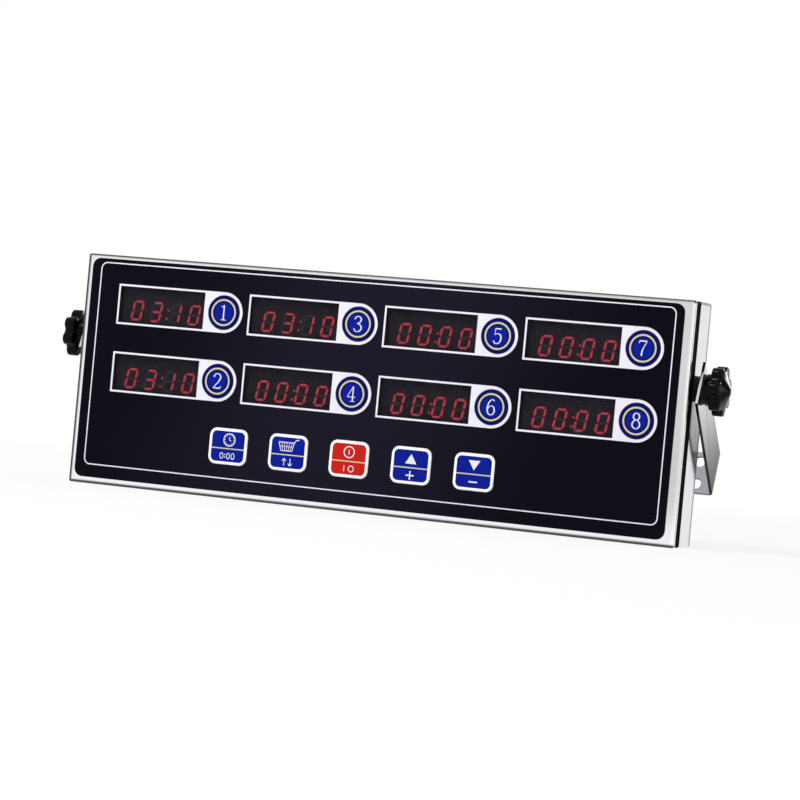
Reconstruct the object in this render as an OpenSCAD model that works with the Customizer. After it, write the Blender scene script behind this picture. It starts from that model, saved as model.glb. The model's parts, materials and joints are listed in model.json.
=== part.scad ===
// Multi-channel kitchen timer: a slim steel case with eight red displays, thirteen keys
// and a steel mounting bracket held by two star knobs. Sizes are in millimetres.
// X runs to the right as seen from the front, the front faces -Y and Z is up.
// The origin is the centre of the case's bottom face. Depths are measured from the steel front face.

/* [Case] */
// Width of the case
case_w = 335; // [305:1:350]
// Height of the case
case_h = 122; // [118:1:130]
// Depth of the case from the steel front face to the back
case_d = 30; // [30:0.5:36]
// Thickness of the case steel
sheet_t = 1; // [0.8:0.1:1.2]
// Outside radius of the folded case edges
edge_r = 1.2; // [1:0.1:1.2]
// Depth of the lip folded back around the front frame
front_lip = 2.4; // [2.4:0.1:2.7]
// Depth of the black seal band between the front frame and the rear case
seal_band = 7.5; // [5:0.1:7.8]
// How far the seal band stays inside the steel outline
seal_inset = 0.3; // [0.2:0.05:0.5]
// Wall thickness of the seal ring
seal_wall = 3; // [2:0.1:3.2]
// How far the seal ring reaches into the rear case
seal_tongue = 2; // [1.5:0.1:2.2]

/* [Front film] */
// Thickness of the printed film
film_t = 0.4; // [0.3:0.05:0.6]
// Steel left showing at the left of the film
film_left = 3.3; // [2.5:0.1:6]
// Steel left showing at the right of the film
film_right = 5.1; // [2.5:0.1:6]
// Steel left showing above the film
film_top = 2.1; // [1.6:0.1:5]
// Steel left showing below the film
film_bottom = 3.4; // [2.5:0.1:6]
// Corner radius of the film
film_r = 4.5; // [2:0.1:6]

/* [Displays] */
// Room between a window and the next one, for a channel key
key_room = 26.975; // [26.5:0.025:28]
// Part of the case width not shared by the four columns
column_margin = 30.7; // [30:0.1:32]
// Height of a display window
window_h = 18.5; // [17.5:0.1:19]
// Left edge of the first window from the left of the case
window_left = 21.3; // [19:0.1:22]
// Centre of the upper row below the top of the case
top_row_drop = 25.6; // [24:0.1:27]
// Distance between the two rows
row_pitch = 35.9; // [34:0.1:36.5]
// Lip of a window lens behind the steel
lens_lip = 1.2; // [0.8:0.1:1.3]
// Thickness of the lens lip
lens_lip_t = 0.8; // [0.6:0.1:1]
// Depth of a display module
module_t = 7.3; // [7:0.1:8]
// Height of a digit
digit_h = 11.1; // [10:0.1:11.8]
// Width of a digit as a share of the window
digit_share = 0.1324; // [0.12:0.0004:0.1424]
// Distance between digits as a share of the window
pitch_share = 0.226; // [0.205:0.001:0.235]
// Width of a segment
segment_w = 1.4; // [1:0.05:1.6]
// Sideways lean of a digit over its height, as a slope
digit_slope = 0.17; // [0:0.01:0.2]
// Digits to the right of the window centre as a share of the window
right_share = 0.032; // [0:0.001:0.04]
// Dots to the right of the middle of the digits as a share of the window
dots_share = 0.024; // [0:0.001:0.03]
// Digits below the window centre
digit_down = 2.7; // [1:0.1:2.9]

/* [Keys] */
// Radius of a round channel key
round_key_r = 8.9; // [8.4:0.1:9.1]
// Centre of a channel key from the right edge of its window
round_key_gap = 11.8; // [11.6:0.1:12.4]
// Width of a function key
key_w = 21.6; // [20:0.1:23]
// Height of a function key
key_h = 18.8; // [18:0.1:20.5]
// Corner radius of a function key
key_r = 4; // [2:0.1:5]
// Distance between function keys
key_pitch = 34.15; // [33:0.05:35]
// Middle function key from the middle of the case
key_middle = -7.5; // [-10:0.1:0]
// Height of the function key row above the bottom of the case
key_row_z = 27.1; // [26:0.1:29]
// How far a key stands out of the film
key_proud = 0.5; // [0.3:0.05:0.8]
// Free space around a key in its opening
key_clear = 0.2; // [0.15:0.05:0.3]
// Retaining flange around a key behind the steel
key_flange = 0.9; // [0.6:0.1:1]
// Thickness of the retaining flange
key_flange_t = 1; // [0.8:0.1:1.2]
// Height of a key switch body on the board
switch_h = 3.5; // [3:0.1:4]
// Side of a key switch body
switch_side = 6; // [5.5:0.1:7]
// Radius of a switch plunger
plunger_r = 1.75; // [1.5:0.05:2]

/* [Bracket] */
// Width of the bracket strip
strip_w = 22.5; // [20:0.5:26]
// Thickness of the bracket strip
strip_t = 1.5; // [1.2:0.1:2]
// Distance from the pivot to the inside of the strip
arm_reach = 50; // [48:0.5:60]
// How far the pivot lies above the middle of the strip
arm_rise = 25; // [23:0.5:27]
// How far the middle of an arm climbs from the strip to the pivot
arm_climb = 21.5; // [18:0.5:23]
// Arm left beyond the pivot
arm_end = 8.2; // [7:0.1:12]
// Lean of the strip at rest, in degrees
strip_lean = 22; // [10:1:24]
// Outside radius of the strip's bends
bend_r = 3; // [2.5:0.1:5]
// Radius of the wall screw holes
wall_hole_r = 2.75; // [2.2:0.05:3.2]
// Wall screw holes from the outside of the bracket
wall_hole_in = 10; // [9:0.1:14]
// Distance between the two screw holes at each end
wall_hole_pitch = 12; // [9:0.1:12.5]

/* [Pivot] */
// Height of the pivot above the bottom of the case
pivot_z = 79; // [77:0.5:84]
// Depth of the pivot behind the front face
pivot_depth = 17; // [17:0.1:19]
// Radius of the threaded stud
stud_r = 2.5; // [2:0.05:2.6]
// Radius of the spacer between the case and an arm
spacer_r = 6.5; // [5.5:0.1:8]
// Thickness of the spacer
spacer_t = 2.4; // [2:0.1:4]
// Radius of the washer under a knob
washer_r = 7.5; // [5:0.1:8]
// Thickness of the washer
washer_t = 0.8; // [0.6:0.1:1.2]
// Radius of the knob hub
hub_r = 8; // [7:0.1:9]
// Length of the knob hub
hub_t = 3.6; // [2:0.1:5]
// Radius of the knob head over its lobes
head_r = 12.65; // [11.5:0.05:14]
// Thickness of the knob head at its lobes
head_t = 5.4; // [4.5:0.1:8]
// Height of the cone on the outer face of the knob
cone_t = 3; // [2:0.1:6]
// Radius of the cone where it meets the head
cone_r = 9.5; // [8.6:0.1:9.6]
// Radius of the blunt tip of the cone
tip_r = 1.4; // [1:0.1:4]
// Radius of a knob lobe
lobe_r = 3.4; // [3:0.05:3.6]
// How far the knobs are turned at rest, in degrees
lobe_turn = 7; // [0:1:51]
// Width across the flats of the welded nut
nut_flats = 8; // [7:0.1:8]
// Thickness of the welded nut
nut_t = 4; // [3:0.1:5]

/* [Inside] */
// Thickness of the circuit board
board_t = 1.6; // [1:0.1:2]
// Radius of a board standoff
standoff_r = 3; // [2.5:0.1:3.2]
// Radius of a case pillar
pillar_r = 3.5; // [3:0.1:3.6]
// Radius of a screw thread
screw_r = 1.5; // [1.2:0.05:1.5]
// Radius of a screw head
screw_head_r = 2.75; // [2.4:0.05:3]
// Height of a screw head
screw_head_t = 2; // [1.4:0.1:2.4]
// Length of a board screw under its head
board_screw_l = 6; // [5:0.5:8]
// Length of a case screw under its head
case_screw_l = 10; // [8:0.5:12]
// Length of the controller chip
controller_l = 18; // [15:0.1:20]
// Length of a driver chip
driver_l = 15.4; // [12:0.1:16]
// Width of a chip
chip_w = 7.6; // [6:0.1:8]
// Thickness of a chip
chip_t = 2.4; // [1.8:0.1:2.6]
// Radius of the power jack barrel
jack_r = 5.5; // [5:0.1:6]
// Power jack from the left end of the case
jack_in = 57.5; // [52:0.5:62]
// Power jack above the bottom of the case
jack_z = 22; // [20:0.5:26]

/* [Fits] */
// Gap between flat faces of pieces that move on each other
face_gap = 0.1; // [0.05:0.01:0.15]
// Radial gap of a thread or of a plunger in its guide
bore_fit = 0.05; // [0.03:0.01:0.08]
// Radial gap of a stud or screw that passes through a hole
through_fit = 0.25; // [0.2:0.01:0.4]
// Gap around pieces that are set into a frame
set_fit = 0.1; // [0.05:0.01:0.15]

/* [Hidden] */
$fn = 48;
face_y = -case_d / 2;

// Depths behind the front face, from front to back
lens_back = sheet_t + lens_lip_t;
segment_t = 0.2;
segment_front = lens_back + 0.2;
module_front = segment_front + segment_t;
board_front = module_front + module_t;
board_back = board_front + board_t;
flange_front = sheet_t + face_gap;
flange_back = flange_front + key_flange_t;
switch_front = board_front - switch_h;
plunger_back = switch_front + 1;
guide_back = plunger_back + 1;
seal_front = front_lip;
seal_back = front_lip + seal_band;
inner_back = case_d - sheet_t;

// Display and key places, centred on the case
column_pitch = (case_w - column_margin) / 4;
window_w = column_pitch - key_room;
digit_w = window_w * digit_share;
digit_pitch = window_w * pitch_share;
digit_right = window_w * right_share;
dots_right = window_w * dots_share;
top_row_z = case_h - top_row_drop;
window_x0 = window_left + window_w / 2 - case_w / 2;
round_key_dx = window_w / 2 + round_key_gap;
function channel_x(i) = window_x0 + column_pitch * floor(i / 2);
function channel_z(i) = top_row_z - row_pitch * (i % 2);
function key_x(i) = key_middle + key_pitch * (i - 2);

// Film, board and fixing places
film_w = case_w - film_left - film_right;
film_h = case_h - film_top - film_bottom;
film_x = (film_left - film_right) / 2;
film_z = film_bottom + film_h / 2;
board_w = case_w - 31;
board_bottom = 12;
board_top = case_h - 7;
board_h = board_top - board_bottom;
board_z = (board_top + board_bottom) / 2;
standoff_x = board_w / 2 - 5;
standoff_low = board_bottom + 4;
standoff_high = board_top - 4;
low_middle_x = key_x(2) + key_pitch / 2;
STANDOFFS = [
    [-standoff_x, standoff_low], [low_middle_x, standoff_low], [standoff_x, standoff_low],
    [-standoff_x, standoff_high], [0, standoff_high], [standoff_x, standoff_high]
];
jack_x = jack_in - case_w / 2;
function on_board(share, rise) = [share * board_w, board_z + rise];
pillar_x = case_w / 2 - 8;
PILLARS = [
    [-pillar_x, 9], [pillar_x, 9], [-pillar_x, case_h - 9], [pillar_x, case_h - 9]
];

// Pivot stack, measured outwards from the side of the case
pivot_y = face_y + pivot_depth;
arm_in = spacer_t + face_gap;
arm_out = arm_in + strip_t;
washer_in = arm_out + face_gap;
washer_out = washer_in + washer_t;
hub_in = washer_out + face_gap;
head_in = hub_in + hub_t;
head_out = head_in + head_t;
stud_in = -sheet_t - nut_t - 1.5;
stud_out = head_in + head_t / 2;
hole_r = stud_r + through_fit;
bracket_out = case_w / 2 + arm_out;

// Seven-segment digits: a to g, lit or not
LIT = [
    [1, 1, 1, 1, 1, 1, 0],
    [0, 1, 1, 0, 0, 0, 0],
    [1, 1, 0, 1, 1, 0, 1],
    [1, 1, 1, 1, 0, 0, 1]
];
SHOWN = [
    [0, 3, 1, 0], [0, 3, 1, 0], [0, 3, 1, 0], [0, 0, 0, 0],
    [0, 0, 0, 0], [0, 0, 0, 0], [0, 0, 0, 0], [0, 0, 0, 0]
];
seg_x = (digit_w - segment_w) / 2;
seg_z = (digit_h - segment_w) / 2;
seg_gap = 0.15;

// A flat shape drawn in X and Z, given a thickness between two depths
module slab(front, back) {
    translate([0, face_y + back, 0])
        rotate([90, 0, 0])
            linear_extrude(back - front)
                children();
}

module rect(w, h) {
    translate([-w / 2, -h / 2])
        square([w, h]);
}

// Corner points of a rectangle with rounded corners
function corner(cx, cz, r, start) =
    [for (k = [0 : 6]) [cx + r * cos(start + 15 * k), cz + r * sin(start + 15 * k)]];
function rounded(w, h, r) = concat(
    corner(w / 2 - r, h / 2 - r, r, 0),
    corner(r - w / 2, h / 2 - r, r, 90),
    corner(r - w / 2, r - h / 2, r, 180),
    corner(w / 2 - r, r - h / 2, r, 270)
);

// Places one of the eight windows or a point in it
module at_channel(i) {
    translate([channel_x(i), channel_z(i)])
        children();
}

module at_key(i) {
    translate([key_x(i), key_row_z])
        children();
}

// Openings for the windows and keys, cut through the film and the steel
module face_openings() {
    for (i = [0 : 7]) {
        at_channel(i)
            rect(window_w + 2 * set_fit, window_h + 2 * set_fit);
        at_channel(i)
            translate([round_key_dx, 0])
                circle(r = round_key_r + key_clear);
    }
    for (i = [0 : 4])
        at_key(i)
            polygon(rounded(key_w + 2 * key_clear, key_h + 2 * key_clear, key_r));
}

// Places a shape on the left (-1) or right (1) pivot, Z pointing outwards
module at_pivot(side) {
    translate([side * case_w / 2, pivot_y, pivot_z])
        rotate([0, side * 90, 0])
            children();
}

// Rounded outline of the case: edges at one end are folded with the edge radius
module folded_block(flat_depth, folded_depth) {
    toward = folded_depth > flat_depth ? 1 : -1;
    hull()
        for (sx = [-1, 1], sz = [-1, 1])
            translate([sx * (case_w / 2 - edge_r), 0, case_h / 2 + sz * (case_h / 2 - edge_r)]) {
                translate([0, face_y + folded_depth - toward * edge_r, 0])
                    sphere(r = edge_r, $fn = 24);
                translate([0, face_y + flat_depth, 0])
                    rotate([90 * toward, 0, 0])
                        mirror([0, 0, 1])
                            cylinder(r = edge_r, h = 0.5, $fn = 24);
            }
}

// Steel front plate with its folded lip
module front_frame() {
    color("silver")
        difference() {
            folded_block(front_lip, 0);
            slab(sheet_t, front_lip + 1)
                translate([0, case_h / 2])
                    rect(case_w - 2 * sheet_t, case_h - 2 * sheet_t);
            slab(-1, sheet_t + 1)
                face_openings();
        }
}

// Black ring between the two halves of the case
module case_seal() {
    tongue_w = case_w - 2 * sheet_t - 2 * set_fit;
    tongue_h = case_h - 2 * sheet_t - 2 * set_fit;
    color("black")
        difference() {
            union() {
                slab(seal_front, seal_back)
                    translate([0, case_h / 2])
                        polygon(rounded(case_w - 2 * seal_inset, case_h - 2 * seal_inset, edge_r));
                slab(sheet_t, seal_back + seal_tongue)
                    translate([0, case_h / 2])
                        rect(tongue_w, tongue_h);
            }
            slab(0, case_d)
                translate([0, case_h / 2])
                    rect(tongue_w - 2 * seal_wall, tongue_h - 2 * seal_wall);
        }
}

// Steel rear tray with holes for the pivots, the screws and the power jack
module rear_case() {
    color("silver")
        difference() {
            folded_block(seal_back, case_d);
            slab(seal_back - 1, inner_back)
                translate([0, case_h / 2])
                    rect(case_w - 2 * sheet_t, case_h - 2 * sheet_t);
            for (side = [-1, 1])
                at_pivot(side)
                    translate([0, 0, -sheet_t - 1])
                        cylinder(r = hole_r, h = sheet_t + 2);
            slab(inner_back - 1, case_d + 1) {
                for (p = PILLARS)
                    translate(p)
                        circle(r = screw_r + set_fit);
                translate([jack_x, jack_z])
                    circle(r = jack_r + set_fit);
            }
        }
}

// Printed film stuck on the front plate
module graphic_film() {
    color([0.07, 0.06, 0.1])
        slab(-film_t, 0)
            difference() {
                translate([film_x, film_z])
                    polygon(rounded(film_w, film_h, film_r));
                face_openings();
            }
}

// Smoked window inserts, each held by a lip behind the steel
module window_lenses() {
    color([0.15, 0.14, 0.16])
        for (i = [0 : 7]) {
            slab(-film_t, sheet_t + lens_lip_t)
                at_channel(i)
                    rect(window_w, window_h);
            slab(sheet_t, lens_back)
                at_channel(i)
                    rect(window_w + 2 * lens_lip, window_h + 2 * lens_lip);
        }
}

// Circuit board with its screw holes
module display_board() {
    color("darkgreen")
        slab(board_front, board_back)
            difference() {
                translate([0, board_z])
                    rect(board_w, board_h);
                for (p = STANDOFFS)
                    translate(p)
                        circle(r = screw_r + set_fit);
            }
}

// Four-digit display modules
module led_displays() {
    color([0.13, 0.12, 0.14])
        for (i = [0 : 7])
            slab(module_front, board_front)
                at_channel(i)
                    rect(window_w + 1, window_h + 0.6);
}

// Outline of one segment with pointed ends, leaning with the digit
function lean(p) = [p[0] + digit_slope * p[1], p[1]];
function bar_across(z) = let (e = seg_x - seg_gap, h = segment_w / 2) [
    lean([-e, z]), lean([h - e, z + h]), lean([e - h, z + h]),
    lean([e, z]), lean([e - h, z - h]), lean([h - e, z - h])
];
function bar_up(x, z0, z1) = let (a = z0 + seg_gap, b = z1 - seg_gap, h = segment_w / 2) [
    lean([x, a]), lean([x + h, a + h]), lean([x + h, b - h]),
    lean([x, b]), lean([x - h, b - h]), lean([x - h, a + h])
];
BARS = [
    bar_across(seg_z), bar_up(seg_x, 0, seg_z), bar_up(seg_x, -seg_z, 0), bar_across(-seg_z),
    bar_up(-seg_x, -seg_z, 0), bar_up(-seg_x, 0, seg_z), bar_across(0)
];

module segments(state) {
    slab(segment_front, module_front)
        for (i = [0 : 7], d = [0 : 3], s = [0 : 6])
            if (LIT[SHOWN[i][d]][s] == state)
                at_channel(i)
                    translate([digit_right + digit_pitch * (d - 1.5), -digit_down])
                        polygon(BARS[s]);
}

// Bright segments and the two dots between hours and minutes
module lit_segments() {
    color("red") {
        segments(1);
        slab(segment_front, module_front)
            for (i = [0 : 7], z = [-0.27 * digit_h, 0.13 * digit_h])
                at_channel(i)
                    translate([digit_right + dots_right + digit_slope * z, z - digit_down])
                        circle(r = segment_w / 2, $fn = 24);
    }
}

// Dark segments
module unlit_segments() {
    color([0.25, 0.22, 0.24])
        segments(0);
}

// Push switches under the keys
module switch_body(x, z) {
    difference() {
        slab(switch_front, board_front)
            translate([x, z])
                rect(switch_side, switch_side);
        slab(switch_front - 1, guide_back)
            translate([x, z])
                circle(r = plunger_r + bore_fit);
    }
}

module key_switches() {
    color([0.2, 0.2, 0.2]) {
        for (i = [0 : 7])
            switch_body(channel_x(i) + round_key_dx, channel_z(i));
        for (i = [0 : 4])
            switch_body(key_x(i), key_row_z);
    }
}

// Parts on the back of the board
module controller_chip() {
    color([0.1, 0.1, 0.1])
        slab(board_back, board_back + chip_t)
            translate(on_board(-0.066, -1.5))
                rect(controller_l, chip_w);
}

module driver_chips() {
    color([0.1, 0.1, 0.1])
        slab(board_back, board_back + chip_t)
            for (share = [-0.345, -0.197, 0.132, 0.3125])
                translate(on_board(share, 18.5))
                    rect(driver_l, chip_w);
}

module crystal() {
    color("silver")
        slab(board_back, board_back + 3.5)
            translate(on_board(-0.066, -17.5))
                polygon(rounded(11, 4.6, 2.2));
}

module buzzer() {
    color([0.08, 0.08, 0.08])
        difference() {
            slab(board_back, board_back + 9)
                translate(on_board(0.197, -17.5))
                    circle(r = 6);
            slab(board_back + 6, board_back + 10)
                translate(on_board(0.197, -17.5))
                    circle(r = 1);
        }
}

module capacitor() {
    color([0.1, 0.1, 0.35])
        slab(board_back, board_back + 14)
            translate(on_board(-0.263, -17.5))
                circle(r = 5);
}

module regulator() {
    color([0.15, 0.15, 0.15])
        union() {
            slab(board_back, board_back + 9)
                translate(on_board(-0.171, -23.5))
                    rect(10, 4.4);
            slab(board_back, board_back + 15)
                translate(on_board(-0.171, -22))
                    rect(10, 1.3);
        }
}

// Barrel power inlet in the rear wall
module power_jack() {
    color([0.1, 0.1, 0.1])
        difference() {
            union() {
                slab(inner_back - 9, case_d)
                    translate([jack_x, jack_z])
                        circle(r = jack_r);
                slab(case_d, case_d + 2)
                    translate([jack_x, jack_z])
                        circle(r = jack_r + 1.5);
            }
            slab(inner_back - 7.5, case_d + 3)
                translate([jack_x, jack_z])
                    difference() {
                        circle(r = 2.9);
                        circle(r = 1.05);
                    }
        }
}

module jack_nut() {
    color("silver")
        slab(inner_back - 2.5, inner_back)
            translate([jack_x, jack_z])
                difference() {
                    circle(r = jack_r + 2.6, $fn = 6);
                    circle(r = jack_r + bore_fit);
                }
}

// Two wires from the power inlet to the board
module jack_leads() {
    color("firebrick")
        slab(board_back, inner_back - 9)
            for (dx = [-2.5, 2.5])
                translate([jack_x + dx, jack_z])
                    circle(r = 0.7, $fn = 24);
}

// Short standoffs that carry the board behind the front plate
module board_standoffs() {
    color("silver")
        slab(sheet_t, board_front)
            for (p = STANDOFFS)
                translate(p)
                    difference() {
                        circle(r = standoff_r);
                        circle(r = screw_r + bore_fit);
                    }
}

module board_screws() {
    color("gainsboro")
        for (p = STANDOFFS) {
            slab(board_back - board_screw_l, board_back + screw_head_t)
                translate(p)
                    circle(r = screw_r);
            slab(board_back, board_back + screw_head_t)
                translate(p)
                    circle(r = screw_head_r);
        }
}

// Long pillars that hold the rear case to the front plate
module case_pillars() {
    color("silver")
        for (p = PILLARS)
            difference() {
                slab(sheet_t, inner_back)
                    translate(p)
                        circle(r = pillar_r);
                slab(case_d - case_screw_l - 2, inner_back + 1)
                    translate(p)
                        circle(r = screw_r + bore_fit);
            }
}

module case_screws() {
    color("gainsboro")
        for (p = PILLARS) {
            slab(case_d - case_screw_l, case_d + screw_head_t)
                translate(p)
                    circle(r = screw_r);
            slab(case_d, case_d + screw_head_t)
                translate(p)
                    circle(r = screw_head_r);
        }
}

// Arc points of one bend of the strip, in plan
function bend(cx, cy, r, from, step) =
    [for (k = [0 : 6]) [cx + r * cos(from + step * k), cy + r * sin(from + step * k)]];

// Bent steel strip with two slanted arms, drawn about the pivot with the strip upright
module bracket_shape() {
    back = arm_reach + strip_t;
    root = back - bend_r;
    low = -arm_rise - strip_w / 2;
    inner_r = bend_r - strip_t;
    bend_x = bracket_out - bend_r;
    end_rise = arm_climb / root * (root + arm_end);
    difference() {
        intersection() {
            // Seen from above, a U with bent corners
            translate([0, 0, low - 1])
                linear_extrude(strip_w + end_rise + 2)
                    polygon(concat(
                        [[bracket_out, -arm_end - 1]],
                        bend(bend_x, root, bend_r, 0, 15),
                        bend(-bend_x, root, bend_r, 90, 15),
                        [[-bracket_out, -arm_end - 1], [strip_t - bracket_out, -arm_end - 1]],
                        bend(-bend_x, root, inner_r, 180, -15),
                        bend(bend_x, root, inner_r, 90, -15),
                        [[bracket_out - strip_t, -arm_end - 1]]
                    ));
            // Seen from the side, a level strip with climbing arms
            translate([-bracket_out - 1, 0, 0])
                rotate([90, 0, 90])
                    linear_extrude(2 * bracket_out + 2)
                        polygon([
                            [back + 1, low], [back + 1, low + strip_w], [root, low + strip_w],
                            [-arm_end, low + strip_w + end_rise], [-arm_end, low + end_rise], [root, low]
                        ]);
        }
        for (side = [-1, 1])
            translate([side * (bracket_out - strip_t / 2), 0, 0])
                rotate([0, 90, 0])
                    cylinder(r = hole_r, h = 2 * strip_t, center = true);
        for (side = [-1, 1], dz = [-0.5, 0.5])
            translate([side * (bracket_out - wall_hole_in), arm_reach + strip_t / 2, dz * wall_hole_pitch - arm_rise])
                rotate([90, 0, 0])
                    cylinder(r = wall_hole_r, h = 2 * strip_t, center = true);
    }
}

module bracket() {
    color("lightgray")
        translate([0, pivot_y, pivot_z])
            rotate([-strip_lean, 0, 0])
                bracket_shape();
}

// Ring around the pivot between two distances from the side of the case
module pivot_ring(side, near, far, outer, inner) {
    at_pivot(side)
        translate([0, 0, near])
            linear_extrude(far - near)
                difference() {
                    circle(r = outer);
                    circle(r = inner);
                }
}

// Black spacers between the case and the arms
module pivot_spacers() {
    color([0.05, 0.05, 0.05])
        for (side = [-1, 1])
            pivot_ring(side, 0, spacer_t, spacer_r, hole_r);
}

// Nuts welded inside the case sides
module pivot_nuts() {
    color("silver")
        for (side = [-1, 1])
            at_pivot(side)
                translate([0, 0, -sheet_t - nut_t])
                    linear_extrude(nut_t)
                        difference() {
                            rotate(0)
                                circle(r = nut_flats / sqrt(3), $fn = 6);
                            circle(r = stud_r + bore_fit);
                        }
}

module knob_washer(side) {
    color([0.06, 0.06, 0.06])
        pivot_ring(side, washer_in, washer_out, washer_r, hole_r);
}

module knob_stud(side) {
    color("silver")
        at_pivot(side)
            translate([0, 0, stud_in])
                cylinder(r = stud_r, h = stud_out - stud_in);
}

// Star knob with a round hub, seven lobes and a conical outer face
module star_knob(side) {
    color([0.04, 0.04, 0.04])
        at_pivot(side)
            difference() {
                union() {
                    translate([0, 0, hub_in])
                        cylinder(r = hub_r, h = hub_t + 1);
                    translate([0, 0, head_in])
                        linear_extrude(head_t)
                            union() {
                                circle(r = head_r - lobe_r + 0.8);
                                for (k = [0 : 6])
                                    rotate(k * 360 / 7 + side * lobe_turn)
                                        translate([head_r - lobe_r, 0])
                                            circle(r = lobe_r);
                            }
                    translate([0, 0, head_out - 1])
                        cylinder(r = cone_r, h = 1);
                    translate([0, 0, head_out])
                        cylinder(r1 = cone_r, r2 = tip_r, h = cone_t);
                }
                translate([0, 0, hub_in - 1])
                    cylinder(r = stud_r + bore_fit, h = stud_out - hub_in + 1);
            }
}

// Round key cap with a retaining flange
module channel_key(i) {
    color([0.05, 0.1, 0.6])
        union() {
            slab(-film_t - key_proud, flange_back)
                at_channel(i)
                    translate([round_key_dx, 0])
                        circle(r = round_key_r);
            slab(flange_front, flange_back)
                at_channel(i)
                    translate([round_key_dx, 0])
                        circle(r = round_key_r + key_flange);
        }
}

// Rounded rectangular key cap with a retaining flange
module function_key(i, tint) {
    color(tint)
        union() {
            slab(-film_t - key_proud, flange_back)
                at_key(i)
                    polygon(rounded(key_w, key_h, key_r));
            slab(flange_front, flange_back)
                at_key(i)
                    polygon(rounded(key_w + 2 * key_flange, key_h + 2 * key_flange, key_r));
        }
}

// Switch plunger that stands against the back of a key
module plunger(x, z) {
    color("white")
        slab(flange_back, plunger_back)
            translate([x, z])
                circle(r = plunger_r);
}

module channel_plunger(i) {
    plunger(channel_x(i) + round_key_dx, channel_z(i));
}

front_frame();
case_seal();
rear_case();
graphic_film();
window_lenses();
display_board();
led_displays();
lit_segments();
unlit_segments();
key_switches();
controller_chip();
driver_chips();
crystal();
buzzer();
capacitor();
regulator();
power_jack();
jack_nut();
jack_leads();
board_standoffs();
board_screws();
case_pillars();
case_screws();
bracket();
pivot_spacers();
pivot_nuts();
knob_washer(-1);  // left_washer
knob_stud(-1);  // left_stud
star_knob(-1);  // left_knob
knob_washer(1);  // right_washer
knob_stud(1);  // right_stud
star_knob(1);  // right_knob
channel_key(0);  // channel_key_1
channel_key(1);  // channel_key_2
channel_key(2);  // channel_key_3
channel_key(3);  // channel_key_4
channel_key(4);  // channel_key_5
channel_key(5);  // channel_key_6
channel_key(6);  // channel_key_7
channel_key(7);  // channel_key_8
function_key(0, [0.06, 0.11, 0.65]);  // time_key
function_key(1, [0.06, 0.11, 0.65]);  // basket_key
function_key(2, [0.9, 0.1, 0.08]);  // power_key
function_key(3, [0.06, 0.11, 0.65]);  // plus_key
function_key(4, [0.06, 0.11, 0.65]);  // minus_key
channel_plunger(0);  // channel_plunger_1
channel_plunger(1);  // channel_plunger_2
channel_plunger(2);  // channel_plunger_3
channel_plunger(3);  // channel_plunger_4
channel_plunger(4);  // channel_plunger_5
channel_plunger(5);  // channel_plunger_6
channel_plunger(6);  // channel_plunger_7
channel_plunger(7);  // channel_plunger_8
plunger(key_x(0), key_row_z);  // time_plunger
plunger(key_x(1), key_row_z);  // basket_plunger
plunger(key_x(2), key_row_z);  // power_plunger
plunger(key_x(3), key_row_z);  // plus_plunger
plunger(key_x(4), key_row_z);  // minus_plunger
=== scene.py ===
# Multi-channel kitchen timer: a folded steel case with eight red displays and thirteen keys,
# held by a tilting steel bracket with a star knob at each end. Lengths are in metres.
import json
import math
import bmesh
import bpy
from mathutils import Matrix, Vector


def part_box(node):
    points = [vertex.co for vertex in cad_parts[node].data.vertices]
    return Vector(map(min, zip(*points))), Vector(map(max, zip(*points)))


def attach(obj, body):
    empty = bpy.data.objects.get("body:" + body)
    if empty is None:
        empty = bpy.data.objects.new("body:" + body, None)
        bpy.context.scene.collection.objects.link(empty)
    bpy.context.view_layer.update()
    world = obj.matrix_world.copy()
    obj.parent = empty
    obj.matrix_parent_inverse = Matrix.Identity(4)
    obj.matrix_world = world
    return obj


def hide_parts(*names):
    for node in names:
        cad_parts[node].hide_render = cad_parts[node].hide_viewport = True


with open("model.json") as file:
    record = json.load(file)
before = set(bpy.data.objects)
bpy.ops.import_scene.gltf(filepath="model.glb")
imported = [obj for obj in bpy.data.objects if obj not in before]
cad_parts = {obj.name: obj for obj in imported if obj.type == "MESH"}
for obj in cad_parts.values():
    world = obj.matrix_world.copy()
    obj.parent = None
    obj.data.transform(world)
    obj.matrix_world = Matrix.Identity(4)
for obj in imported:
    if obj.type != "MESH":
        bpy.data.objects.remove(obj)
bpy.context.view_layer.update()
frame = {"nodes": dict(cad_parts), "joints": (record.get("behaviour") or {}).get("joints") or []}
nodes = frame["nodes"]
bpy.ops.object.select_all(action="DESELECT")


# Case halves
# The front plate and the rear tray are 1 mm stainless sheet, punched, folded and finely ground,
# with the grain along the long faces and upright on the two ends. The rear wall is coloured darker and
# rougher.
# Most folds carry painted shade, and the right front fold a painted highlight.
class Shade:
    """One socket in a material. Sums on it add Math nodes to the same material."""

    def __init__(self, tree, socket=None):
        self.tree = tree
        self.socket = socket

    def node(self, kind, settings, sockets, output=0):
        made = self.tree.nodes.new(kind)
        for name, value in settings.items():
            setattr(made, name, value)
        for name, value in sockets.items():
            if isinstance(value, Shade):
                self.tree.links.new(value.socket, made.inputs[name])
            else:
                made.inputs[name].default_value = value
        return Shade(self.tree, made.outputs[output] if made.outputs else None)

    def maths(self, operation, first, second=0.0):
        return self.node("ShaderNodeMath", {"operation": operation}, {0: first, 1: second})

    def __add__(self, other):
        return self.maths("ADD", self, other)

    def __radd__(self, other):
        return self.maths("ADD", other, self)

    def __sub__(self, other):
        return self.maths("SUBTRACT", self, other)

    def __rsub__(self, other):
        return self.maths("SUBTRACT", other, self)

    def __mul__(self, other):
        return self.maths("MULTIPLY", self, other)

    def __rmul__(self, other):
        return self.maths("MULTIPLY", other, self)


def blank(owner):
    """An empty node tree for a material or for the world."""
    owner.use_nodes = True
    owner.node_tree.nodes.clear()
    return Shade(owner.node_tree)


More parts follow.
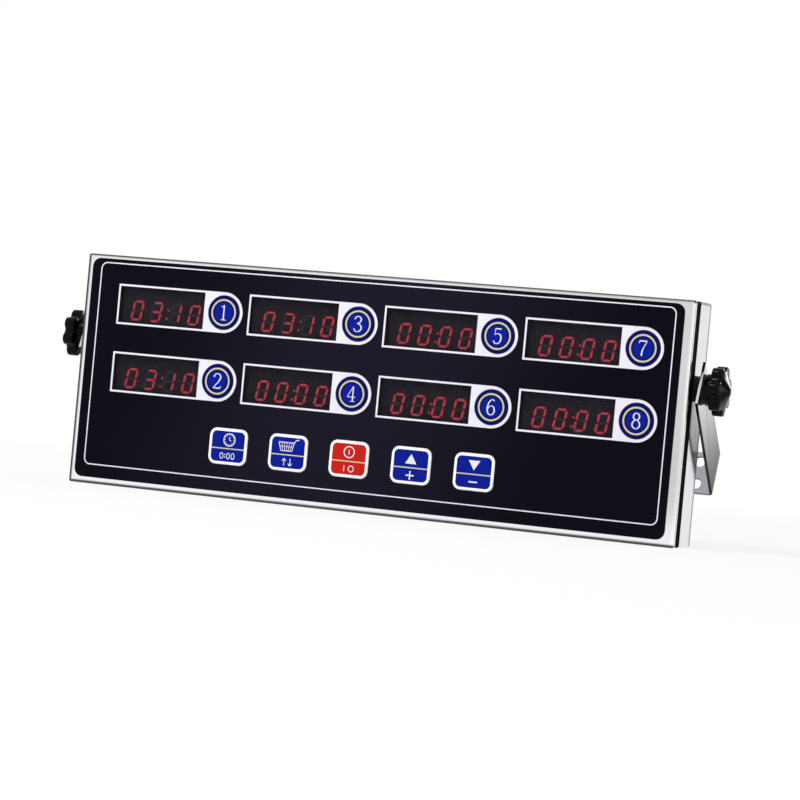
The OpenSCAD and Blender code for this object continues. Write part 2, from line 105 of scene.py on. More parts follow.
def finish(name, alike, varying):
    """A material: the values that are alike all over, and a function that gives those that vary."""
    material = bpy.data.materials.new(name)
    shade = blank(material)
    surface = shade.node("ShaderNodeBsdfPrincipled", {}, {**alike, **varying(shade)})
    shade.node("ShaderNodeOutputMaterial", {}, {"Surface": surface})
    return material


def tint(red, green, blue):
    """A colour given in screen values from 0 to 255."""
    parts = [value / 255 for value in (red, green, blue)]
    linear = [p / 12.92 if p <= 0.04045 else ((p + 0.055) / 1.055) ** 2.4 for p in parts]
    return (*linear, 1.0)


def mottle(shade, repeats, detail=2.0):
    """Noise from 0 to 1 that repeats about so many times a metre in X, Y and Z."""
    where = shade.node("ShaderNodeTexCoord", {}, {}, "Object")
    spread = shade.node("ShaderNodeMapping", {}, {"Vector": where, "Scale": repeats})
    return shade.node("ShaderNodeTexNoise", {}, {"Vector": spread, "Scale": 1.0, "Detail": detail})


def between(shade, share, first, second):
    """A colour part of the way from the first to the second."""
    return shade.node("ShaderNodeMix", {"data_type": "RGBA"}, {0: share, 6: first, 7: second}, 2)


def dents(shade, height, strength, depth):
    """A normal that follows a fine relief of that depth."""
    return shade.node("ShaderNodeBump", {}, {"Strength": strength, "Distance": depth, "Height": height})


def fade(value, start, end):
    """Rises smoothly from 0 to 1 between two values."""
    return value.node("ShaderNodeMapRange", {"interpolation_type": "SMOOTHSTEP"},
                      {"Value": value, "From Min": start, "From Max": end})


def strongest(first, *others):
    """The highest of several values."""
    for other in others:
        first = first.maths("MAXIMUM", first, other)
    return first


def split(vector, axes):
    """The parts of a vector along some of X, Y and Z."""
    return [vector.node("ShaderNodeSeparateXYZ", {}, {"Vector": vector}, axis) for axis in axes]


def place_on(shade, axes):
    """Where on a piece a point lies, along some of X, Y and Z."""
    return split(shade.node("ShaderNodeTexCoord", {}, {}, "Object"), axes)


def faces_way(shade, axes, lean=0.0):
    """Which way a surface faces along some of X, Y and Z, with a lean about X taken back."""
    normal = shade.node("ShaderNodeTexCoord", {}, {}, "Normal")
    upright = shade.node("ShaderNodeMapping", {"vector_type": "VECTOR"},
                         {"Vector": normal, "Rotation": (lean, 0, 0)})
    return split(upright, axes)


def ground_finish(shade, on_end):
    """Grinding marks, lengthways on long faces and upright on ends, with their roughness and relief."""
    along = mottle(shade, (14, 1300, 1300), 3.0)
    upright = mottle(shade, (1300, 1300, 14), 3.0)
    grain = along + on_end * (upright - along)
    handled = mottle(shade, (16, 16, 16), 3.0)
    return grain, {
        "Roughness": 0.08 + 0.07 * grain + 0.05 * handled,
        "Normal": dents(shade, grain, 0.03, 0.00003),
    }


front_low, front_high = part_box("front_frame")
case_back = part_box("rear_case")[1].y

# How far from its edge each painted line of shade or highlight along a fold begins, and from where it is
# full
top_line_w = 0.0014, 0.0006
left_line_w = 0.0023, 0.0011
bottom_line_w = 0.0021, 0.0009
right_line_w = 0.0022, 0.0014
rear_line_w = 0.0036, 0.0022
end_line_w = 0.0018, 0.0010


def case_sheet(shade):
    """Sheet with painted shade on most folds, a painted highlight on the right front fold and a darker rear
    wall.
    """
    x, y, z = place_on(shade, "XYZ")
    way_x, way_y = faces_way(shade, "XY")
    side_on = shade.maths("ABSOLUTE", way_x)
    grain, surface = ground_finish(shade, shade.maths("GREATER_THAN", side_on, 0.7))
    facing_front = fade(way_y, 0.0, -0.1)
    below_top = front_high.z - z
    # Painted shade: dark lines along the top, left and bottom front folds, the rear folds of the ends and
    # the top fold of the right end
    top_line = fade(below_top, *top_line_w)
    left_line = fade(x - front_low.x, *left_line_w)
    bottom_line = fade(z - front_low.z, *bottom_line_w)
    front_lines = strongest(top_line, left_line, bottom_line) * facing_front
    rear_line = 0.8 * fade(side_on, 0.6, 0.8) * fade(case_back - y, *rear_line_w)
    end_line = fade(way_x, 0.1, 0.3) * fade(below_top, *end_line_w)
    painted_fold_shade = strongest(front_lines, rear_line, end_line)
    # Painted highlight: the right front fold is coloured pure white
    painted_fold_highlight = fade(front_high.x - x, *right_line_w) * facing_front
    rear = fade(way_y, 0.5, 0.9)
    bright = between(shade, grain, tint(238, 238, 241), tint(250, 250, 252))
    dull = between(shade, grain, tint(192, 193, 196), tint(212, 213, 216))
    sheet = between(shade, painted_fold_highlight, between(shade, rear, bright, dull), tint(255, 255, 255))
    # Dark grey where shade is painted, and those places are also made rougher
    surface["Base Color"] = between(shade, painted_fold_shade, sheet, tint(80, 80, 84))
    surface["Roughness"] = surface["Roughness"] + 0.35 * painted_fold_shade + 0.14 * rear
    return surface


def dress(material, *names):
    """Gives solids of the frame a finish."""
    for name in names:
        for place in nodes[name].material_slots:
            place.material = material


ground_stainless = finish(
    "ground_stainless", {"Metallic": 1.0, "Specular Tint": (0.82, 0.82, 0.83, 1)}, case_sheet)
dress(ground_stainless, "front_frame", "rear_case")


# Seal band
# A moulded black rubber ring closes the joint between the two halves of the case.
# It is matt, with the faint mottling of cured rubber, and shows as a dark line on the ends.
def matt_rubber(shade):
    cloud = mottle(shade, (300, 300, 300), 3.0)
    return {
        "Base Color": between(shade, cloud, tint(2, 2, 3), tint(6, 6, 7)),
        "Roughness": 0.62 + 0.2 * cloud,
        "Normal": dents(shade, mottle(shade, (2500, 2500, 2500)), 0.3, 0.00003),
    }


black_rubber = finish("black_rubber", {"Specular IOR Level": 0.01}, matt_rubber)
dress(black_rubber, "case_seal")


# Front film
# A polyester film printed blue-black on its back and stuck to the steel. A paler slanting band
# across the middle is a painted sheen, and the face has a faint orange-peel gloss.
# Where the painted sheen lies: its slant, its level, and where it rises and falls across the face
sheen_slant, sheen_level = 0.45, 0.06
sheen_rise = -0.14, -0.03
sheen_fall = 0.12, 0.01


def printed_film(shade):
    x, z = place_on(shade, "XZ")
    across = x - sheen_slant * (z - sheen_level)
    # Painted sheen: the ink is coloured paler in this band
    middle = fade(across, *sheen_rise) * fade(across, *sheen_fall)
    cloud = mottle(shade, (9, 9, 9))
    peel = mottle(shade, (900, 900, 900))
    return {
        "Base Color": between(shade, 0.85 * middle + 0.15 * cloud, tint(9, 8, 17), tint(26, 24, 37)),
        "Roughness": 0.28 + 0.1 * cloud,
        "Normal": dents(shade, peel, 0.05, 0.00003),
    }


film_ink = finish("film_ink", {"Specular IOR Level": 0.03}, printed_film)
dress(film_ink, "graphic_film")


# White print on the film
# A line round the whole face and a border round each window, screen printed in white.
# Each border is square at its left and wraps the round channel key at its right.
def thin_ink(light, dark):
    """Screen print with a slightly uneven coat."""
    def varying(shade):
        coat = mottle(shade, (260, 260, 260), 3.0)
        return {
            "Base Color": between(shade, coat, dark, light),
            "Roughness": 0.34 + 0.14 * coat,
            "Normal": dents(shade, mottle(shade, (4000, 4000, 4000)), 0.1, 0.00001),
        }
    return varying


white_ink = finish(
    "white_ink", {"Specular IOR Level": 0.2}, thin_ink(tint(236, 235, 243), tint(226, 225, 235)))
print_t = 0.00005
film_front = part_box("graphic_film")[0].y


def take(piece):
    """Makes a piece the only one selected."""
    bpy.ops.object.select_all(action="DESELECT")
    piece.select_set(True)
    bpy.context.view_layer.objects.active = piece


def pick(piece, kind, test):
    """Selects the points, edges or faces of a piece in edit mode that pass a test."""
    bpy.ops.mesh.select_mode(type=kind)
    bpy.ops.mesh.select_all(action="DESELECT")
    shape = bmesh.from_edit_mesh(piece.data)
    for element in {"VERT": shape.verts, "EDGE": shape.edges, "FACE": shape.faces}[kind]:
        if test(element):
            element.select_set(True)
    shape.select_flush_mode()
    bmesh.update_edit_mesh(piece.data)


def rounded_sheet(name, width, height, radius, is_round):
    """A flat sheet drawn on the page, left in edit mode, with some of its corners rounded."""
    bpy.ops.object.select_all(action="DESELECT")
    bpy.ops.mesh.primitive_plane_add(size=1)
    sheet = bpy.context.object
    sheet.name = name
    bpy.ops.object.mode_set(mode="EDIT")
    bpy.ops.mesh.select_all(action="SELECT")
    bpy.ops.transform.resize(value=(width, height, 1), center_override=(0, 0, 0))
    pick(sheet, "VERT", is_round)
    bpy.ops.mesh.bevel(affect="VERTICES", offset=radius, segments=12)
    return sheet


def extrude(travel):
    """Pulls what is selected in edit mode out of the piece."""
    bpy.ops.mesh.extrude_region_move(TRANSFORM_OT_translate={"value": travel})


def leave_edit():
    """Turns all faces of the piece in edit mode outwards, and ends edit mode."""
    bpy.ops.mesh.select_all(action="SELECT")
    bpy.ops.mesh.normals_make_consistent(inside=False)
    bpy.ops.object.mode_set(mode="OBJECT")


def raise_sheet(thickness):
    """Gives the sheet in edit mode its thickness towards the viewer."""
    bpy.ops.mesh.select_all(action="SELECT")
    extrude((0, 0, thickness))
    leave_edit()


def settle():
    """Writes the place, turn and scale of the selected piece into its mesh."""
    bpy.ops.object.transform_apply(location=True, rotation=True, scale=True)


def stand_up(piece, x, front, z):
    """Turns a piece drawn on the page to face the front, and puts it in its place on the case."""
    take(piece)
    piece.rotation_euler = (math.pi / 2, 0, 0)
    piece.location = (x, front, z)
    settle()


def copy_of(piece, name):
    """A separate copy of a piece, selected."""
    take(piece)
    bpy.ops.object.duplicate(linked=False)
    twin = bpy.context.object
    twin.name = name
    return twin


def cut(piece, cutter):
    """Takes the shape of a cutter out of a piece."""
    take(piece)
    opening = piece.modifiers.new("opening", "BOOLEAN")
    opening.object = cutter
    opening.operation = "DIFFERENCE"
    bpy.ops.object.modifier_apply(modifier=opening.name)
    bpy.data.objects.remove(cutter)


line_left, line_right = -0.1591, 0.1584
line_bottom, line_top = 0.0101, 0.1180
line_x = (line_left + line_right) / 2
line_z = (line_bottom + line_top) / 2
line_w = line_right - line_left
line_h = line_top - line_bottom
line_corner_r = 0.0036
line_thick = 0.0006

face_line = rounded_sheet("face_line", line_w, line_h, line_corner_r, lambda point: True)
pick(face_line, "FACE", lambda face: True)
bpy.ops.mesh.inset(thickness=line_thick)
bpy.ops.mesh.delete(type="FACE")
raise_sheet(print_t)
face_line.data.materials.append(white_ink)
stand_up(face_line, line_x, film_front, line_z)
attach(face_line, "case")

window_w, window_h = 0.0496, 0.0193
window_to_key = 0.03635
border_left = 0.0010
border_h = 0.0213
channel_key_r = 0.0089
key_edge_gap = 0.0002
cutter_depth = 0.002
border_w = border_left + window_w / 2 + window_to_key + border_h / 2
border_x = window_to_key + border_h / 2 - border_w / 2
# A hair under half the height, so that the two round corners stay apart
border_corner_r = 0.4999 * border_h

window_border = rounded_sheet(
    "window_border", border_w, border_h, border_corner_r, lambda point: point.co.x > 0)
raise_sheet(print_t)
window_border.location.x = border_x
take(window_border)
settle()
bpy.ops.object.select_all(action="DESELECT")
bpy.ops.mesh.primitive_cube_add(size=1, scale=(window_w, window_h, cutter_depth))
cut(window_border, bpy.context.object)
bpy.ops.object.select_all(action="DESELECT")
bpy.ops.mesh.primitive_cylinder_add(
    vertices=128, radius=channel_key_r + key_edge_gap, depth=cutter_depth, location=(window_to_key, 0, 0))
cut(window_border, bpy.context.object)
window_border.data.materials.append(white_ink)


def middle_of(name):
    """The X and Z of the middle of a solid of the frame."""
    low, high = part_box(name)
    return (low.x + high.x) / 2, (low.z + high.z) / 2


for number in range(1, 9):
    key_x, key_z = middle_of(f"channel_key_{number}")
    border = copy_of(window_border, f"window_border_{number}")
    stand_up(border, key_x - window_to_key, film_front, key_z)
    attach(border, "case")
bpy.data.objects.remove(window_border)


# Display windows
# Smoked acrylic inserts, one behind each white border, held by a lip behind the steel.
# They are so dark that little but the lit segments shows through them.
def smoked_acrylic(shade):
    haze = mottle(shade, (120, 120, 120))
    return {
        "Base Color": between(shade, haze, tint(30, 28, 33), tint(37, 35, 40)),
        "Roughness": 0.14 + 0.1 * haze,
    }


smoked_window = finish("smoked_window", {"Alpha": 0.15, "Specular IOR Level": 0.08}, smoked_acrylic)
dress(smoked_window, "window_lenses")


# Display modules
# Moulded black modules with four leaning digits each. Lit segments glow red through diffusing
# resin, with a bright core along each bar, and dark ones stay a faint grey.
def moulded(light, dark, roughness, grain):
    """Moulded plastic or resin with a slight clouding and a fine tool grain."""
    def varying(shade):
        cloud = mottle(shade, (90, 90, 90), 3.0)
        return {
            "Base Color": between(shade, cloud, dark, light),
            "Roughness": roughness + 0.14 * cloud,
            "Normal": dents(shade, mottle(shade, (grain, grain, grain)), 0.2, 0.00003),
        }
    return varying


def lit_resin(dark, light):
    """Resin that glows between two colours."""
    def varying(shade):
        glow = mottle(shade, (700, 700, 700))
        return {
            "Base Color": between(shade, glow, tint(60, 6, 10), tint(76, 9, 14)),
            "Emission Color": between(shade, glow, dark, light),
        }
    return varying


lit = {"Emission Strength": 1.0, "Roughness": 0.5}
lit_segment = finish("lit_segment", lit, lit_resin(tint(112, 14, 28), tint(130, 20, 35)))
lit_core = finish("lit_core", lit, lit_resin(tint(186, 50, 67), tint(206, 67, 84)))
dark_segment = finish(
    "dark_segment", {"Specular IOR Level": 0.2}, moulded(tint(52, 47, 54), tint(43, 39, 46), 0.5, 2200))
display_housing = finish(
    "display_housing", {"Specular IOR Level": 0.1}, moulded(tint(41, 38, 47), tint(33, 31, 39), 0.6, 2200))
dress(display_housing, "led_displays")
dress(lit_segment, "lit_segments")
dress(dark_segment, "unlit_segments")

core_inset = 0.00034
core_proud = 0.00003
segment_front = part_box("lit_segments")[0].y
front_depth = 0.00001
touching = 0.000001


def is_behind(face):
    """Whether a face of a segment is anything but its front."""
    return face.calc_center_median().y > segment_front + front_depth or face.normal.y > -0.9


cores = copy_of(nodes["lit_segments"], "lit_segment_cores")
bpy.ops.object.mode_set(mode="EDIT")
bpy.ops.mesh.select_all(action="SELECT")
bpy.ops.mesh.remove_doubles(threshold=touching)
bpy.ops.mesh.dissolve_limited(angle_limit=math.radians(1))
pick(cores, "FACE", is_behind)
bpy.ops.mesh.delete(type="FACE")
bpy.ops.mesh.select_mode(type="FACE")
bpy.ops.mesh.select_all(action="SELECT")
bpy.ops.mesh.inset(thickness=core_inset, use_individual=True)
bpy.ops.mesh.select_all(action="INVERT")
bpy.ops.mesh.delete(type="FACE")
bpy.ops.mesh.select_all(action="SELECT")
extrude((0, -core_proud, 0))
leave_edit()
cores.data.materials.clear()
cores.data.materials.append(lit_core)
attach(cores, "case")


# Circuit board and what is fixed to it
# A glass-epoxy board under green solder mask, with moulded chips, switches and a buzzer, a
# crystal in a plated can, a sleeved capacitor and two supply wires. The small fixings are
# zinc plated, and white acetal plungers pass each key's push on to its switch.
def solder_mask(shade):
    """Green lacquer with copper tracks showing through it."""
    where = shade.node("ShaderNodeTexCoord", {}, {}, "Object")
    flat = shade.node("ShaderNodeMapping", {}, {"Vector": where, "Rotation": (math.pi / 2, 0, 0)})
    tracks = shade.node(
        "ShaderNodeTexBrick", {"offset": 0.37, "squash": 1.6, "squash_frequency": 3},
        {"Vector": flat, "Scale": 60.0, "Mortar Size": 0.03, "Brick Width": 0.7, "Row Height": 0.16}, "Fac")
    cloud = mottle(shade, (70, 70, 70), 3.0)
    mask = between(shade, cloud, tint(12, 76, 40), tint(20, 92, 50))
    return {
        "Base Color": between(shade, tracks, mask, tint(38, 120, 66)),
        "Roughness": 0.3 + 0.15 * cloud,
        "Normal": dents(shade, tracks, 0.2, 0.00004),
    }


def plated(light, dark):
    """Plated metal with a faint bloom."""
    def varying(shade):
        bloom = mottle(shade, (420, 420, 420), 3.0)
        return {
            "Base Color": between(shade, bloom, dark, light),
            "Roughness": 0.2 + 0.2 * bloom,
            "Normal": dents(shade, mottle(shade, (3000, 3000, 3000)), 0.1, 0.00002),
        }
    return varying


green_board = finish("green_board", {}, solder_mask)
moulded_epoxy = finish("moulded_epoxy", {}, moulded(tint(40, 40, 41), tint(28, 28, 29), 0.5, 1800))
zinc_plate = finish("zinc_plate", {"Metallic": 1.0}, plated(tint(206, 208, 212), tint(176, 180, 188)))
blue_sleeve = finish("blue_sleeve", {}, moulded(tint(38, 42, 98), tint(28, 32, 80), 0.3, 900))
red_insulation = finish("red_insulation", {}, moulded(tint(182, 34, 30), tint(156, 26, 24), 0.4, 1500))
white_acetal = finish("white_acetal", {}, moulded(tint(232, 231, 226), tint(220, 219, 213), 0.45, 1600))
keys = [f"channel_key_{number}" for number in range(1, 9)]
keys += ["time_key", "basket_key", "power_key", "plus_key", "minus_key"]
dress(green_board, "display_board")
dress(moulded_epoxy, "key_switches", "controller_chip", "driver_chips", "buzzer", "regulator")
dress(zinc_plate, "crystal", "board_standoffs", "board_screws", "case_pillars", "pivot_nuts", "jack_nut")
dress(blue_sleeve, "capacitor")
dress(red_insulation, "jack_leads")
dress(white_acetal, *[name.replace("key", "plunger") for name in keys])


# Round channel keys
# Eight moulded caps, printed in navy with a yellow ring and a blue disc. A flange behind
# the steel keeps each one in, and the white numeral is printed last.
navy_ink = finish("navy_ink", {"Specular IOR Level": 0.06}, thin_ink(tint(8, 10, 98), tint(4, 6, 82)))
blue_ink = finish("blue_ink", {"Specular IOR Level": 0.06}, thin_ink(tint(8, 31, 148), tint(4, 23, 132)))
yellow_ink = finish(
    "yellow_ink", {"Specular IOR Level": 0.15}, thin_ink(tint(208, 204, 158), tint(196, 191, 138)))
steel_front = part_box("front_frame")[0].y
key_front = steel_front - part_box("channel_key_1")[0].y
flange_front = -0.0011
flange_back = -0.0021
flange_w = 0.0009
rim_round = 0.00035
navy_rim_w, yellow_ring_w, navy_ring_w = 0.0015, 0.0009, 0.0009
smooth_below = math.radians(35)


def paint(piece, ink):
    """Prints the selected faces of a piece in edit mode with an ink."""
    piece.active_material_index = piece.material_slots.find(ink.name)
    bpy.ops.object.material_slot_assign()


def is_front(face):
    """Whether a face of a cap is part of its flat front."""
    return face.normal.z > 0.99 and abs(face.calc_center_median().z - key_front) < touching


def add_flange(cap, scale_x, scale_y):
    """Grows the flange out of the back of a cap in edit mode, and rounds its front rim."""
    pick(cap, "FACE", lambda face: face.normal.z < -0.99)
    extrude((0, 0, 0))
    bpy.ops.transform.resize(value=(scale_x, scale_y, 1), center_override=(0, 0, flange_front))
    extrude((0, 0, flange_back - flange_front))
    pick(cap, "EDGE", lambda edge: all(abs(point.co.z - key_front) < touching for point in edge.verts))
    bpy.ops.mesh.bevel(affect="EDGES", offset=rim_round, segments=3)


bpy.ops.object.select_all(action="DESELECT")
bpy.ops.mesh.primitive_cylinder_add(
    vertices=96, radius=channel_key_r, depth=key_front - flange_front,
    location=(0, 0, (key_front + flange_front) / 2))
round_cap = bpy.context.object
settle()
for ink in (navy_ink, yellow_ink, blue_ink):
    round_cap.data.materials.append(ink)
bpy.ops.object.mode_set(mode="EDIT")
add_flange(round_cap, 1 + flange_w / channel_key_r, 1 + flange_w / channel_key_r)
pick(round_cap, "FACE", is_front)
for width, ink in ((navy_rim_w, yellow_ink), (yellow_ring_w, navy_ink), (navy_ring_w, blue_ink)):
    bpy.ops.mesh.inset(thickness=width)
    paint(round_cap, ink)
leave_edit()
bpy.ops.object.shade_smooth_by_angle(angle=smooth_below)

# Numerals as pen strokes: whether it closes, then X, Y and half the pen width in numeral units
numerals = {
    1: [(False, [(0.1, 3.9, 0.42), (0.1, -3.8, 0.42)]),
        (False, [(-1.5, 2.9, 0.16), (-0.6, 3.3, 0.24), (0.1, 4.0, 0.34)]),
        (False, [(-1.5, -4.0, 0.19), (1.7, -4.0, 0.19)])],
    2: [(False, [(-2.0, 2.2, 0.46), (-1.6, 3.4, 0.3), (0.0, 4.05, 0.24), (1.6, 3.2, 0.42),
                 (1.8, 1.8, 0.46), (0.8, -0.2, 0.38), (-0.9, -2.2, 0.26), (-2.2, -3.8, 0.22)]),
        (False, [(-2.2, -3.75, 0.3), (1.9, -3.75, 0.38)]),
        (False, [(1.9, -3.7, 0.26), (2.3, -2.5, 0.16)])],
    3: [(False, [(-1.9, 2.5, 0.42), (-1.4, 3.6, 0.28), (0.0, 4.05, 0.22), (1.4, 3.4, 0.4),
                 (1.6, 2.2, 0.46), (0.8, 0.8, 0.32), (-0.6, 0.3, 0.18)]),
        (False, [(-0.6, 0.3, 0.18), (1.2, -0.3, 0.34), (2.0, -1.9, 0.48), (1.4, -3.4, 0.38),
                 (-0.1, -4.05, 0.22), (-1.6, -3.6, 0.28), (-2.1, -2.5, 0.44)])],
    4: [(False, [(0.8, 4.0, 0.4), (0.8, -3.8, 0.42)]),
        (False, [(0.7, 4.0, 0.2), (-2.3, -1.6, 0.2)]),
        (False, [(-2.4, -1.65, 0.22), (2.3, -1.65, 0.22)]),
        (False, [(-0.5, -4.0, 0.18), (2.0, -4.0, 0.18)])],
    5: [(False, [(-1.4, 3.75, 0.34), (1.8, 3.75, 0.38)]),
        (False, [(-1.4, 3.8, 0.2), (-1.6, 0.5, 0.2)]),
        (False, [(-1.6, 0.5, 0.2), (-0.3, 1.2, 0.22), (1.4, 0.6, 0.42), (1.9, -1.3, 0.48),
                 (1.2, -3.3, 0.36), (-0.3, -4.05, 0.22), (-1.6, -3.6, 0.28), (-2.0, -2.6, 0.42)])],
    6: [(False, [(1.7, 3.4, 0.36), (0.6, 4.0, 0.24), (-0.9, 3.0, 0.34), (-1.9, 0.4, 0.46),
                 (-1.9, -1.9, 0.46), (-1.1, -3.6, 0.32), (0.1, -4.05, 0.22), (1.4, -3.3, 0.38),
                 (1.9, -1.6, 0.46), (1.3, 0.1, 0.36), (0.2, 0.7, 0.22), (-1.1, 0.0, 0.24),
                 (-1.8, -1.1, 0.26)])],
    7: [(False, [(-2.0, 3.75, 0.4), (2.0, 3.75, 0.34)]),
        (False, [(-2.0, 3.7, 0.24), (-2.2, 2.5, 0.16)]),
        (False, [(2.0, 3.6, 0.2), (0.6, 0.9, 0.3), (-0.3, -1.6, 0.42), (-0.5, -3.9, 0.46)])],
    8: [(True, [(0.0, 0.5, 0.26), (1.4, 1.4, 0.4), (1.5, 2.9, 0.4), (0.0, 4.0, 0.24), (-1.5, 2.9, 0.4),
                (-1.4, 1.4, 0.42)]),
        (True, [(0.0, 0.5, 0.26), (1.7, -0.8, 0.4), (1.9, -2.6, 0.44), (0.0, -4.0, 0.24),
                (-1.9, -2.6, 0.44), (-1.7, -0.8, 0.42)])],
}
numeral_unit, numeral_weight = 0.00096, 0.88
pen_flatness = 0.07
print_proud = 0.00001


def pen_print(name, strokes, unit, weight):
    """White print on the page from pen strokes, each a line of points with half its width."""
    bpy.ops.object.select_all(action="DESELECT")
    bpy.ops.curve.primitive_bezier_curve_add()
    mark = bpy.context.object
    mark.name = name
    pen = mark.data
    pen.splines.clear()
    pen.bevel_depth = unit
    pen.bevel_resolution = 2
    pen.resolution_u = 6
    pen.use_fill_caps = True
    for closed, points in strokes:
        line = pen.splines.new("BEZIER")
        line.bezier_points.add(len(points) - 1)
        line.use_cyclic_u = closed
        for knot, (x, y, half) in zip(line.bezier_points, points):
            knot.co = (x * unit, y * unit, 0)
            knot.radius = half * weight
            knot.handle_left_type = "AUTO"
            knot.handle_right_type = "AUTO"
    bpy.ops.object.convert(target="MESH")
    mark.scale.z = pen_flatness
    settle()
    mark.data.materials.clear()
    mark.data.materials.append(white_ink)
    return mark


mark_front = steel_front - key_front - print_proud
for number in range(1, 9):
    name = f"channel_key_{number}"
    key_x, key_z = middle_of(name)
    cap = copy_of(round_cap, f"round_cap_{number}")
    stand_up(cap, key_x, steel_front, key_z)
    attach(cap, name)
    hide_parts(name)
    numeral = pen_print(f"numeral_{number}", numerals[number], numeral_unit, numeral_weight)
    stand_up(numeral, key_x, mark_front, key_z)
    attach(numeral, name)
bpy.data.objects.remove(round_cap)


# Function keys
# Five rounded rectangular caps, made and held like the round ones. Each has a white border,
# and a yellow line between its picture and the mark below.
red_ink = finish("red_ink", {"Specular IOR Level": 0.15}, thin_ink(tint(198, 28, 17), tint(186, 20, 11)))
border_ink = finish(
    "border_ink", {"Specular IOR Level": 0.2}, thin_ink(tint(255, 255, 255), tint(250, 250, 251)))
cap_w, cap_h, cap_r = 0.0216, 0.0188, 0.0040
cap_border_w = 0.0011
divider_y = -0.0011
divider_half = 0.0003

square_cap = rounded_sheet("square_cap", cap_w, cap_h, cap_r, lambda point: True)
for ink in (border_ink, yellow_ink, blue_ink):
    square_cap.data.materials.append(ink)
picture_slot = square_cap.material_slots.find(blue_ink.name)
raise_sheet(key_front - flange_front)
square_cap.location.z = flange_front
settle()


def is_picture(face):
    """Whether a face of a cap lies inside its white border."""
    return is_front(face) and face.material_index == picture_slot


def is_divider(face):
    """Whether a face of a cap lies between the two cuts for the yellow line."""
    return is_picture(face) and abs(face.calc_center_median().y - divider_y) < divider_half


bpy.ops.object.mode_set(mode="EDIT")
add_flange(square_cap, 1 + 2 * flange_w / cap_w, 1 + 2 * flange_w / cap_h)
pick(square_cap, "FACE", is_front)
bpy.ops.mesh.inset(thickness=cap_border_w)
paint(square_cap, blue_ink)
for edge_y in (divider_y - divider_half, divider_y + divider_half):
    pick(square_cap, "FACE", is_picture)
    bpy.ops.mesh.bisect(plane_co=(0, edge_y, 0), plane_no=(0, 1, 0))
pick(square_cap, "FACE", is_divider)
paint(square_cap, yellow_ink)
leave_edit()
bpy.ops.object.shade_smooth_by_angle(angle=smooth_below)


def ring(x, y, radius_x, radius_y, half):
    """A closed stroke round an oval."""
    turns = [math.radians(45 * k) for k in range(8)]
    return True, [(x + radius_x * math.cos(t), y + radius_y * math.sin(t), half) for t in turns]


def ray(x, y, turn, near, far, half):
    """A short stroke on a line out from a middle."""
    ends = [(x + r * math.sin(turn), y + r * math.cos(turn), half) for r in (near, far)]
    return False, ends


# Pictures and the marks below them, as pen strokes in millimetres from the middle of the key
mark_unit, mark_weight = 0.001, 1.0
mark_y = -4.9
clock_x, clock_y, clock_r = 0.6, 3.5, 3.2
clock = [
    ring(clock_x, clock_y, clock_r, clock_r, 0.25),
    ray(clock_x, clock_y, 0, 0, 1.5, 0.22),
    ray(clock_x, clock_y, 2.1, 0, 1.0, 0.22),
]
clock += [ray(clock_x, clock_y, math.radians(30 * k), 2.3, 2.9, 0.2) for k in range(12)]
clock += [ring(x, mark_y, 0.85, 1.5, 0.21) for x in (-3.2, 0.6, 3.2)]
for y in (mark_y - 0.7, mark_y + 0.7):
    clock.append((False, [(-1.35, y - 0.28, 0.28), (-1.35, y + 0.28, 0.28)]))
basket = [
    (False, [(-5.4, 5.3, 0.22), (3.4, 5.3, 0.22)]),
    (False, [(-5.4, 5.3, 0.21), (-4.0, 0.9, 0.21)]),
    (False, [(-4.0, 0.9, 0.22), (2.2, 0.9, 0.22)]),
    (False, [(2.2, 0.9, 0.21), (3.4, 5.3, 0.21), (4.3, 6.6, 0.22), (5.9, 7.0, 0.26)]),
    (False, [(-4.7, 3.1, 0.15), (2.8, 3.1, 0.15)]),
]
basket += [(False, [(-5.2 + 1.46 * k, 5.2, 0.15), (-4.0 + 1.03 * k, 1.0, 0.15)]) for k in range(1, 6)]
for x, way in ((-1.7, 1), (1.7, -1)):
    tip = mark_y + 1.9 * way
    basket.append((False, [(x, mark_y - 1.9 * way, 0.22), (x, tip, 0.22)]))
    basket.append((False, [(x - 1.1, tip - 1.3 * way, 0.21), (x, tip, 0.21)]))
    basket.append((False, [(x + 1.1, tip - 1.3 * way, 0.21), (x, tip, 0.21)]))
power = [ring(0, 3.6, 2.8, 2.8, 0.3), (False, [(0, 2.4, 0.25), (0, 4.8, 0.25)])]
power.append((False, [(-2.2, mark_y - 1.5, 0.26), (-2.2, mark_y + 1.5, 0.26)]))
power.append(ring(1.7, mark_y, 1.4, 1.5, 0.25))
plus = [(False, [(-2.2, -5.0, 0.38), (2.2, -5.0, 0.38)]), (False, [(0, -7.2, 0.38), (0, -2.8, 0.38)])]
minus = [(False, [(-2.3, -5.0, 0.39), (2.3, -5.0, 0.39)])]
pictures = {
    "time_key": clock,
    "basket_key": basket,
    "power_key": power,
    "plus_key": plus,
    "minus_key": minus,
}
arrow_w, arrow_h = 0.0062, 0.0050
arrow_y = 0.0034
arrow_corner_r = 0.0002


def triangle(name, way):
    """A filled white triangle on the page, pointing up or down."""
    bpy.ops.object.select_all(action="DESELECT")
    bpy.ops.mesh.primitive_circle_add(vertices=3, radius=1, fill_type="NGON")
    arrow = bpy.context.object
    arrow.name = name
    bpy.ops.object.mode_set(mode="EDIT")
    bpy.ops.mesh.select_all(action="SELECT")
    stretch = (arrow_w / math.sqrt(3), way * arrow_h / 1.5, 1)
    bpy.ops.transform.resize(value=stretch, center_override=(0, 0, 0))
    bpy.ops.transform.translate(value=(0, arrow_y - way * arrow_h / 6, 0))
    pick(arrow, "VERT", lambda point: True)
    bpy.ops.mesh.bevel(affect="VERTICES", offset=arrow_corner_r, segments=2)
    raise_sheet(print_t)
    arrow.data.materials.append(white_ink)
    return arrow


